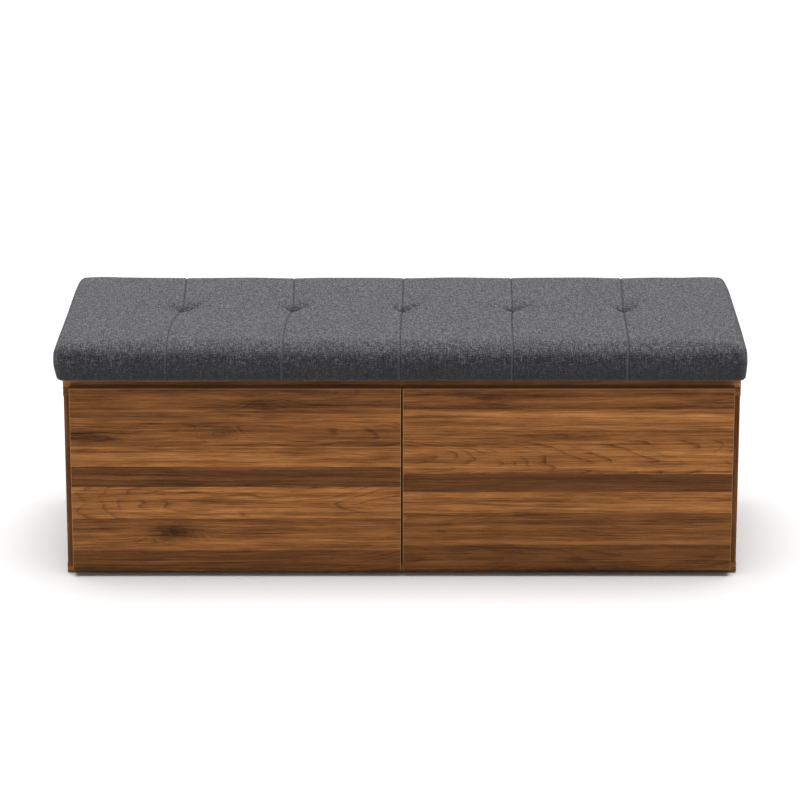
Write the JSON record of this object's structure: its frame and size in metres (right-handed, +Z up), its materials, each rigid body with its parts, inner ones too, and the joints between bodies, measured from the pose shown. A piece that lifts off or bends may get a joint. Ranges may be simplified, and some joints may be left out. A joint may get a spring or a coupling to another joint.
{
  "type": "storage bench",
  "caption": "Long low bench with a tufted cloth seat that lifts on rear hinges, over a walnut-faced cabinet with a divider and two handle-less push-to-open doors.",
  "frame": {"origin": "on the floor, under the middle of the bench's overall box", "axes": "+X to the right of a person facing the doors, along the bench's length; front faces -Y; +Z up"},
  "size_m": [1.094, 0.41, 0.3949],
  "materials": {
    "walnut_laminate": "satin",
    "board_core": "matte",
    "linen_cloth": "matte",
    "foam": "matte",
    "tie_cord": "matte",
    "zinc_steel": "satin",
    "dark_plastic": "matte",
    "pale_plastic": "satin",
    "clear_rubber": "satin"
  },
  "bodies": {
    "carcass": {"bottom_panel": "walnut_laminate", "left_side_panel": "walnut_laminate", "right_side_panel": "walnut_laminate", "front_top_rail": "walnut_laminate", "back_top_rail": "walnut_laminate", "left_top_rail": "walnut_laminate", "right_top_rail": "walnut_laminate", "back_panel": "walnut_laminate", "centre_divider": "walnut_laminate", "left_front_glide": "dark_plastic", "left_back_glide": "dark_plastic", "middle_front_glide": "dark_plastic", "middle_back_glide": "dark_plastic", "right_front_glide": "dark_plastic", "right_back_glide": "dark_plastic", "lid_hinge_base_leaf_1": "zinc_steel", "lid_hinge_pin_1": "zinc_steel", "lid_hinge_base_leaf_2": "zinc_steel", "lid_hinge_pin_2": "zinc_steel", "lid_hinge_base_leaf_3": "zinc_steel", "lid_hinge_pin_3": "zinc_steel", "left_front_lid_bumper": "clear_rubber", "left_back_lid_bumper": "clear_rubber", "right_front_lid_bumper": "clear_rubber", "right_back_lid_bumper": "clear_rubber", "left_lower_hinge_arm": "zinc_steel", "left_upper_hinge_arm": "zinc_steel", "right_lower_hinge_arm": "zinc_steel", "right_upper_hinge_arm": "zinc_steel", "left_latch_housing": "dark_plastic", "right_latch_housing": "dark_plastic"},
    "seat_lid": {"seat_board": "walnut_laminate", "pad_base_board": "board_core", "seat_foam": "foam", "seat_cover": "linen_cloth", "tuft_tie_1": "tie_cord", "tuft_tie_2": "tie_cord", "tuft_tie_3": "tie_cord", "tuft_tie_4": "tie_cord", "tuft_tie_5": "tie_cord", "lid_hinge_top_leaf_1": "zinc_steel", "lid_hinge_top_leaf_2": "zinc_steel", "lid_hinge_top_leaf_3": "zinc_steel"},
    "left_door_leaf": {"left_door": "walnut_laminate", "left_striker_plate": "zinc_steel", "left_lower_hinge_cup": "zinc_steel", "left_upper_hinge_cup": "zinc_steel"},
    "left_hinge_links": {"left_lower_hinge_link": "zinc_steel", "left_upper_hinge_link": "zinc_steel"},
    "left_push_plunger": {"left_latch_plunger": "pale_plastic"},
    "right_door_leaf": {"right_door": "walnut_laminate", "right_striker_plate": "zinc_steel", "right_lower_hinge_cup": "zinc_steel", "right_upper_hinge_cup": "zinc_steel"},
    "right_hinge_links": {"right_lower_hinge_link": "zinc_steel", "right_upper_hinge_link": "zinc_steel"},
    "right_push_plunger": {"right_latch_plunger": "pale_plastic"}
  },
  "joints": [
    {"name": "lid_hinge", "type": "hinge", "parent": "carcass", "child": "seat_lid", "pos_m": [0, 0.1976, 0.3153], "axis": [-1, 0, 0], "range_deg": [0, 90]},
    {"name": "left_door_hinge", "type": "hinge", "parent": "carcass", "child": "left_door_leaf", "pos_m": [-0.524, -0.185, 0.162], "axis": [0, 0, -1], "range_deg": [0, 95]},
    {"name": "left_link_turn", "type": "hinge", "parent": "carcass", "child": "left_hinge_links", "pos_m": [-0.511, -0.1735, 0.162], "axis": [0, 0, -1], "range_deg": [0, 83.6]},
    {"name": "left_plunger_travel", "type": "slide", "parent": "carcass", "child": "left_push_plunger", "axis": [0, -1, 0], "range_m": [0, 0.005]},
    {"name": "right_door_hinge", "type": "hinge", "parent": "carcass", "child": "right_door_leaf", "pos_m": [0.524, -0.185, 0.162], "axis": [0, 0, 1], "range_deg": [0, 95]},
    {"name": "right_link_turn", "type": "hinge", "parent": "carcass", "child": "right_hinge_links", "pos_m": [0.511, -0.1735, 0.162], "axis": [0, 0, 1], "range_deg": [0, 83.6]},
    {"name": "right_plunger_travel", "type": "slide", "parent": "carcass", "child": "right_push_plunger", "axis": [0, -1, 0], "range_m": [0, 0.005]}
  ],
  "couplings": [
    {"joint": "left_link_turn", "follows": "left_door_hinge", "ratio": 0.88},
    {"joint": "left_plunger_travel", "follows": "left_door_hinge", "m_per_rad": 0.003},
    {"joint": "right_link_turn", "follows": "right_door_hinge", "ratio": 0.88},
    {"joint": "right_plunger_travel", "follows": "right_door_hinge", "m_per_rad": 0.003}
  ]
}
